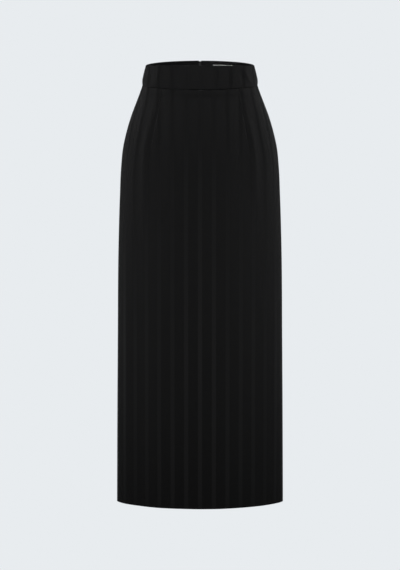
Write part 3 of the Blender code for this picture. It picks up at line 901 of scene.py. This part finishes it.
def add_node(tree, kind, inputs=None, **settings):
    """A shader node with these settings. inputs are values, or other nodes' outputs, by socket."""
    node = tree.nodes.new("ShaderNode" + kind)
    for setting, value in settings.items():
        setattr(node, setting, value)
    feed(tree, node.inputs, inputs or {})
    return node


def maths(tree, operation, *values):
    return add_node(tree, "Math", dict(enumerate(values)), operation=operation).outputs[0]


def times(tree, first, second):
    return maths(tree, "MULTIPLY", first, second)


def eased(tree, value, low, high, first, last):
    """Goes smoothly from the first to the last as the value goes from low to high."""
    values = {"Value": value, "From Min": low, "From Max": high, "To Min": first, "To Max": last}
    return add_node(tree, "MapRange", values, interpolation_type="SMOOTHSTEP").outputs["Result"]


def new_group(name, numbers, results):
    """A node group that works from a place and these numbers: itself and its two ends' sockets."""
    group = bpy.data.node_groups.new(name, "ShaderNodeTree")
    group.interface.new_socket(name="Place", in_out="INPUT", socket_type="NodeSocketVector")
    for end, sockets in (("INPUT", numbers), ("OUTPUT", results)):
        for socket in sockets:
            group.interface.new_socket(name=socket, in_out=end, socket_type="NodeSocketFloat")
    return group, group.nodes.new("NodeGroupInput").outputs, group.nodes.new("NodeGroupOutput").inputs


def use_group(tree, group, **inputs):
    """The group in a material, with its own values."""
    return add_node(tree, "Group", inputs, node_tree=group).outputs


# The twill repeats after so many threads. Tone is painted shade between the threads: it lies between the
# deepest thread's, darkest, and the highest thread's.
TWILL_REPEAT = 3
DEEPEST_THREAD_SHADE = 0.71
THREAD_SHADE_RISE = 0.50


def make_thread_group():
    """Woven threads: lengthwise threads side by side, over and under cross threads where Twill is above 0."""
    group, given, result = new_group("Woven threads", ("Across", "Along", "Twill"), ("Height", "Tone"))
    parts = add_node(group, "SeparateXYZ", {0: given["Place"]}).outputs
    x = maths(group, "DIVIDE", parts["X"], given["Across"])
    y = maths(group, "DIVIDE", parts["Y"], given["Along"])
    lengthwise = maths(group, "ABSOLUTE", maths(group, "SINE", times(group, x, math.pi)))
    crosswise = maths(group, "ABSOLUTE", maths(group, "SINE", times(group, y, math.pi)))
    steps = times(group, maths(group, "ADD", x, y), 2 * math.pi / TWILL_REPEAT)
    slant = maths(group, "SINE", steps)
    under = times(group, maths(group, "MULTIPLY_ADD", slant, 0.5, 0.5), given["Twill"])
    over = maths(group, "SUBTRACT", 1.0, under)
    top = times(group, lengthwise, over)
    height = maths(group, "MULTIPLY_ADD", times(group, crosswise, under), 0.5, top)
    group.links.new(height, result["Height"])
    # Tone: painted shade, darker where the threads lie deeper.
    group.links.new(maths(group, "MULTIPLY_ADD", height, THREAD_SHADE_RISE, DEEPEST_THREAD_SHADE), result["Tone"])
    return group


def make_stripe_group():
    """Lengthwise stripes: 1 on a stripe, 0 between them."""
    group, given, result = new_group("Lengthwise stripes", ("Apart", "Wide", "Edge"), ("Stripe",))
    x = add_node(group, "SeparateXYZ", {0: given["Place"]}).outputs["X"]
    turn = maths(group, "FRACT", maths(group, "ADD", maths(group, "DIVIDE", x, given["Apart"]), 0.5))
    off_middle = maths(group, "ABSOLUTE", maths(group, "SUBTRACT", turn, 0.5))
    away = times(group, off_middle, given["Apart"])
    half = times(group, given["Wide"], 0.5)
    inside = maths(group, "SUBTRACT", half, given["Edge"])
    outside = maths(group, "ADD", half, given["Edge"])
    group.links.new(eased(group, away, inside, outside, 1.0, 0.0), result["Stripe"])
    return group


def make_uneven_group():
    """Soft unevenness of a finish: a tone a little above and below 1."""
    group, given, result = new_group("Uneven finish", ("Size", "Amount"), ("Tone",))
    scale = maths(group, "DIVIDE", 1.0, given["Size"])
    settings = {"Vector": given["Place"], "Scale": scale, "Detail": 3.0, "Roughness": 0.6}
    noise = add_node(group, "TexNoise", settings)
    swing = times(group, maths(group, "SUBTRACT", noise.outputs["Fac"], 0.5), 2.0)
    group.links.new(maths(group, "MULTIPLY_ADD", swing, given["Amount"], 1.0), result["Tone"])
    return group


THREADS = make_thread_group()
STRIPES = make_stripe_group()
UNEVEN = make_uneven_group()


def new_material(name):
    """A material with only its shader: the material, its node tree and the piece's own coordinates."""
    material = bpy.data.materials.new(name)
    material.use_nodes = True
    tree = material.node_tree
    return material, tree, add_node(tree, "TexCoord").outputs["Object"]


def cloth_place(tree):
    """Where on the flat cloth a point lies."""
    return add_node(tree, "UVMap", uv_map=CLOTH_MAP).outputs["UV"]


def uneven(tree, own_place, size, amount):
    return use_group(tree, UNEVEN, Place=own_place, Size=size, Amount=amount)["Tone"]


# How a finish's relief is shaded: what its height is taken from, how deep it is, and how strongly it shows.
Relief = namedtuple("Relief", "height depth strength")


def finish_material(material, colour, rough, fine_relief, **others):
    """Feeds a material's shader. Underscores stand for the spaces in its other inputs' names."""
    tree = material.node_tree
    shader = tree.nodes["Principled BSDF"].inputs
    bump = add_node(tree, "Bump", dict(zip(("Height", "Distance", "Strength"), fine_relief)))
    feed(tree, shader, {"Base Color": colour, "Roughness": rough, "Normal": bump.outputs["Normal"]})
    feed(tree, shader, {name.replace("_", " "): value for name, value in others.items()})
    return material


# The colour sockets of a Mix node, which has a set of sockets for each kind of value.
COLOUR_A, COLOUR_B, COLOUR_RESULT = 6, 7, 2


def toned(tree, colour, *tones):
    """A colour made lighter and darker by these tones. colour is three numbers or an output."""
    if not isinstance(colour, bpy.types.NodeSocket):
        colour = (*colour, 1.0)
    for tone in tones:
        values = {0: 1.0, COLOUR_A: colour, COLOUR_B: tone}
        colour = add_node(tree, "Mix", values, data_type="RGBA", blend_type="MULTIPLY").outputs[COLOUR_RESULT]
    return colour


def mixed(tree, mask, first, second):
    """A colour that goes from the first to the second with the mask."""
    values = {0: mask, COLOUR_A: (*first, 1.0), COLOUR_B: (*second, 1.0)}
    return add_node(tree, "Mix", values, data_type="RGBA").outputs[COLOUR_RESULT]


def shifted(tree, mask, first, second):
    """A value that goes from the first to the second with the mask."""
    return maths(tree, "MULTIPLY_ADD", mask, second - first, first)


def make_cloth(name, ground, stripe, stripe_coat):
    """The black cloth: a matt twill ground, with smooth satin stripes along it."""
    material, tree, own_place = new_material(name)
    across = cloth_place(tree)
    sizes = {"Apart": STRIPE_APART, "Wide": STRIPE_WIDE, "Edge": STRIPE_EDGE}
    mask = use_group(tree, STRIPES, Place=across, **sizes)["Stripe"]
    twill = use_group(tree, THREADS, Place=across, Across=0.00042, Along=0.00046, Twill=0.8)
    satin = use_group(tree, THREADS, Place=across, Across=0.00030, Along=0.00300, Twill=0.15)
    broad = uneven(tree, own_place, 0.045, 0.05)
    fine = uneven(tree, own_place, 0.004, 0.05)
    ground_height = times(tree, twill["Height"], maths(tree, "SUBTRACT", 1.0, mask))
    stripe_height = times(tree, times(tree, satin["Height"], mask), SATIN_RELIEF)
    return finish_material(
        material,
        # broad and fine: the cloth's uneven tone. The twill's Tone: painted shade between its threads.
        toned(tree, mixed(tree, mask, ground, stripe), broad, fine, twill["Tone"]),
        times(tree, shifted(tree, mask, GROUND_ROUGHNESS, STRIPE_ROUGHNESS), broad),
        Relief(maths(tree, "ADD", ground_height, stripe_height), 0.00014, 0.55),
        Coat_Weight=times(tree, mask, stripe_coat),
        Coat_Roughness=0.30,
        Specular_IOR_Level=0.14,
        Sheen_Weight=0.015,
        Sheen_Roughness=0.45,
    )


HERRINGBONE_WIDE = 0.0020


def make_zip_tape():
    """Black ribbon in herringbone weave."""
    material, tree, own_place = new_material("zip tape, black")
    across = add_node(tree, "SeparateXYZ", {0: cloth_place(tree)}).outputs
    folded = maths(tree, "PINGPONG", across["X"], HERRINGBONE_WIDE)
    herringbone = add_node(tree, "CombineXYZ", {"X": folded, "Y": across["Y"]}).outputs[0]
    threads = use_group(tree, THREADS, Place=herringbone, Across=0.00036, Along=0.00036, Twill=1.0)
    tone = uneven(tree, own_place, 0.012, 0.12)
    # The threads' Tone is painted shade between them. tone is the tape's own uneven colour.
    colour = toned(tree, TAPE_COLOUR, threads["Tone"], tone)
    fine_relief = Relief(threads["Height"], 0.00015, 0.6)
    others = {"Specular_IOR_Level": 0.3, "Sheen_Weight": 0.03}
    return finish_material(material, colour, times(tree, tone, 0.72), fine_relief, **others)


def make_label():
    """A plain grey woven ribbon, a little shiny along its threads and dulled unevenly."""
    material, tree, own_place = new_material("label ribbon, grey")
    threads = use_group(tree, THREADS, Place=cloth_place(tree), Across=0.00050, Along=0.00024, Twill=0.4)
    tone = uneven(tree, own_place, 0.010, 0.06)
    # The threads' Tone is painted shade between them. tone is the ribbon's own uneven colour.
    colour = toned(tree, LABEL_COLOUR, threads["Tone"], tone)
    fine_relief = Relief(threads["Height"], 0.0001, 0.5)
    return finish_material(material, colour, times(tree, tone, 0.5), fine_relief, Sheen_Weight=0.1)


def make_nylon():
    """The zip's coil: black nylon, slightly glossy."""
    material, tree, own_place = new_material("zip nylon, black")
    tone = uneven(tree, own_place, 0.003, 0.25)
    fine_relief = Relief(uneven(tree, own_place, 0.0004, 0.10), 0.00004, 0.5)
    return finish_material(material, toned(tree, NYLON, tone), times(tree, tone, 0.34), fine_relief)


def make_thread():
    """Black sewing thread, twisted."""
    material, tree, own_place = new_material("sewing thread, black")
    strands = {"Vector": own_place, "Scale": 900.0, "Distortion": 1.5}
    twist = add_node(tree, "TexWave", strands, bands_direction="DIAGONAL").outputs["Fac"]
    tone = uneven(tree, own_place, 0.006, 0.15)
    colour = toned(tree, SEWING_THREAD, tone)
    fine_relief = Relief(twist, 0.00006, 0.6)
    return finish_material(material, colour, times(tree, tone, 0.55), fine_relief, Sheen_Weight=0.05)


def make_metal():
    """The slider and its pull: dark plated metal, brushed, and rubbed brighter in places."""
    material, tree, own_place = new_material("zip metal, dark plated")
    stretched = add_node(tree, "Mapping", {"Vector": own_place, "Scale": (4200.0, 4200.0, 260.0)}).outputs[0]
    brush = add_node(tree, "TexNoise", {"Vector": stretched, "Scale": 1.0, "Detail": 2.0}).outputs["Fac"]
    patches = uneven(tree, own_place, 0.0035, 1.0)
    rubbed = eased(tree, patches, 0.95, 1.35, 0.0, 1.0)
    brushed = maths(tree, "MULTIPLY_ADD", brush, 0.4, 0.8)
    colour = toned(tree, mixed(tree, rubbed, METAL, METAL_RUBBED), brushed)
    fine_relief = Relief(brush, 0.00002, 0.5)
    return finish_material(material, colour, times(tree, brushed, 0.36), fine_relief, Metallic=0.9)


# Camera, lights and floor


def aim(obj, at, way):
    """Puts a camera or light in its place, pointing this way."""
    obj.location = at
    obj.rotation_mode = "QUATERNION"
    obj.rotation_quaternion = way.to_track_quat("-Z", "Y")


def add_camera():
    """The photograph's view: from the front, a little above the middle, through a long lens."""
    camera = bpy.data.cameras.new("camera")
    camera.lens = CAMERA_LENS
    camera.clip_end = CAMERA_REACH
    obj = place("camera", camera)
    back = Vector((0.0, -math.cos(CAMERA_ELEVATION), math.sin(CAMERA_ELEVATION)))
    aim(obj, CAMERA_TARGET + back * CAMERA_AWAY, -back)
    bpy.context.scene.camera = obj


# A softbox: where it stands, what it points at, its width and height, its power in watts, how far it spreads,
# and whether it gleams in smooth cloth: the ones at the sides are screened, so that the stripes stay dark
# there. The one named opening shines over the front rim on to the inside of the back. Left and right are the
# camera's here.
Softbox = namedtuple("Softbox", "name at aim wide high power spread gleams")
FLOOR_LIGHT_Z = -1.10


def floor_softbox(name, x, y, wide, long, power):
    """A softbox that lies on the floor and faces up. It shows in the smooth stripes lower down."""
    return Softbox(name, (x, y, FLOOR_LIGHT_Z), (x, y, 0.0), wide, long, power, 180.0, True)


SOFTBOXES = (
    Softbox("front", (0.0, -1.22, 1.85), (0.0, 0.0, -0.60), 0.8, 0.8, 0.88, 29.0, True),
    Softbox("back", (0.0, 1.22, 1.85), (0.0, 0.0, -0.64), 0.8, 0.8, 0.86, 29.0, True),
    Softbox("side_left", (-1.66, -0.23, 1.59), (0.0, 0.0, -0.50), 0.6, 0.6, 1.90, 25.0, False),
    Softbox("side_right", (1.66, -0.23, 1.59), (0.0, 0.0, -0.50), 0.6, 0.6, 1.90, 25.0, False),
    Softbox("waist_left", (-1.60, 1.00, 0.20), (0.0, 0.0, 0.03), 0.4, 0.4, 0.20, 12.0, False),
    Softbox("waist_right", (1.60, 1.00, 0.20), (0.0, 0.0, 0.03), 0.4, 0.4, 0.34, 12.0, False),
    Softbox("back_left", (-1.07, 1.28, 1.62), (0.0, 0.0, -0.64), 0.6, 0.6, 0.80, 25.0, False),
    Softbox("back_right", (1.07, 1.28, 1.62), (0.0, 0.0, -0.66), 0.6, 0.6, 0.78, 25.0, False),
    Softbox("opening", (0.03, -0.97, 1.06), (0.03, 0.085, 0.030), 0.12, 0.06, 0.0125, 5.0, True),
    floor_softbox("low_front", 0.0, -2.30, 3.0, 3.6, 13.5),
    floor_softbox("low_back", 0.0, 2.30, 3.0, 3.6, 13.5),
    floor_softbox("far_front", 0.0, -4.60, 3.2, 3.2, 47.0),
    floor_softbox("far_front_left", -3.77, -2.64, 3.2, 3.2, 42.0),
    floor_softbox("far_front_right", 3.77, -2.64, 3.2, 3.2, 42.0),
    floor_softbox("far_back_left", -4.00, 2.20, 3.2, 3.2, 46.0),
    floor_softbox("far_back_right", 4.00, 2.20, 3.2, 3.2, 46.0),
    floor_softbox("far_back", 0.0, 4.60, 3.2, 3.2, 46.0),
    floor_softbox("farther_front", 0.0, -7.00, 5.0, 2.5, 45.0),
)


def add_softbox(softbox):
    light = bpy.data.lights.new(softbox.name, "AREA")
    light.shape = "RECTANGLE"
    light.size = softbox.wide
    light.size_y = softbox.high
    light.energy = softbox.power
    light.spread = math.radians(softbox.spread)
    obj = place(softbox.name, light)
    aim(obj, softbox.at, Vector(softbox.aim) - Vector(softbox.at))
    obj.visible_camera = False
    obj.visible_glossy = softbox.gleams


def empty_tree(owner):
    owner.use_nodes = True
    owner.node_tree.nodes.clear()
    return owner.node_tree


def set_world():
    """A plain pale backdrop for the camera, in a dimmer room that lights the skirt evenly from all round."""
    world = bpy.data.worlds.new("studio")
    tree = empty_tree(world)
    seen = add_node(tree, "Background", {"Color": (*BACKDROP, 1.0)}).outputs[0]
    room = add_node(tree, "Background", {"Color": (*ROOM, 1.0)}).outputs[0]
    is_camera = add_node(tree, "LightPath").outputs["Is Camera Ray"]
    mix = add_node(tree, "MixShader", {0: is_camera, 1: room, 2: seen}).outputs[0]
    add_node(tree, "OutputWorld", {"Surface": mix})
    bpy.context.scene.world = world


def add_floor():
    """A plain pale floor, as bright as the backdrop so that no line parts them. It shows only from above."""
    angles = np.arange(FLOOR_SIDES) * 2 * math.pi / FLOOR_SIDES
    points = [(FLOOR_REACH * math.cos(angle), FLOOR_REACH * math.sin(angle), FLOOR_Z) for angle in angles]
    mesh = bpy.data.meshes.new("floor")
    mesh.from_pydata(points, [], [list(range(FLOOR_SIDES))])
    material = bpy.data.materials.new("floor, pale")
    tree = empty_tree(material)
    light_path = add_node(tree, "LightPath").outputs["Is Camera Ray"]
    seen = add_node(tree, "Emission", {"Color": (*BACKDROP, 1.0)}).outputs[0]
    glow = add_node(tree, "Emission", {"Color": (*BACKDROP, 1.0), "Strength": FLOOR_GLOW}).outputs[0]
    top = add_node(tree, "MixShader", {0: light_path, 1: glow, 2: seen}).outputs[0]
    clear = add_node(tree, "BsdfTransparent").outputs[0]
    underside = add_node(tree, "NewGeometry").outputs["Backfacing"]
    mix = add_node(tree, "MixShader", {0: underside, 1: top, 2: clear}).outputs[0]
    add_node(tree, "OutputMaterial", {"Surface": mix})
    mesh.materials.append(material)
    place("floor", mesh)


# The whole


def main():
    right_side = make_cloth("striped cloth, right side", GROUND, STRIPE, STRIPE_COAT)
    wrong_side = make_cloth("striped cloth, wrong side", WRONG_GROUND, WRONG_STRIPE, WRONG_STRIPE_COAT)
    metal = make_metal()

    front = add_front_panel([right_side, wrong_side])
    pieces = [(front, "front_panel", "cloth", FRONT_FLAT)]
    front_band = add_front_band([right_side, wrong_side])
    pieces.append((front_band, "waistband_front", "band", FRONT_BAND_FLAT))
    tape = make_zip_tape()
    for side in ("left", "right"):
        panel = add_back_panel(side, [right_side, wrong_side])
        pieces.append((panel, "back_panel_" + side, "cloth", BACK_FLAT))
        back_band = add_back_band(side, [right_side, wrong_side])
        pieces.append((back_band, "waistband_back_" + side, "band", BACK_BAND_FLAT))
        pieces.append((add_zip_tape(side, tape), "zip_tape_" + side, "tape", TAPE_FLAT))
    pieces.append((add_label(make_label()), "label", "label", LABEL_FLAT))
    for piece, node, slot, flat in pieces:
        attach(piece, "skirt")
        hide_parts(node)

    teeth = add_zip_teeth(make_nylon())
    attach(teeth, "skirt")
    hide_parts("zip_coil")
    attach(add_stitches(make_thread()), "skirt")
    for node in ("zip_slider", "zip_pull"):
        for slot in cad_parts[node].material_slots:
            slot.material = metal

    add_camera()
    for softbox in SOFTBOXES:
        add_softbox(softbox)
    set_world()
    add_floor()
    bpy.context.scene.view_settings.view_transform = "Standard"


main()
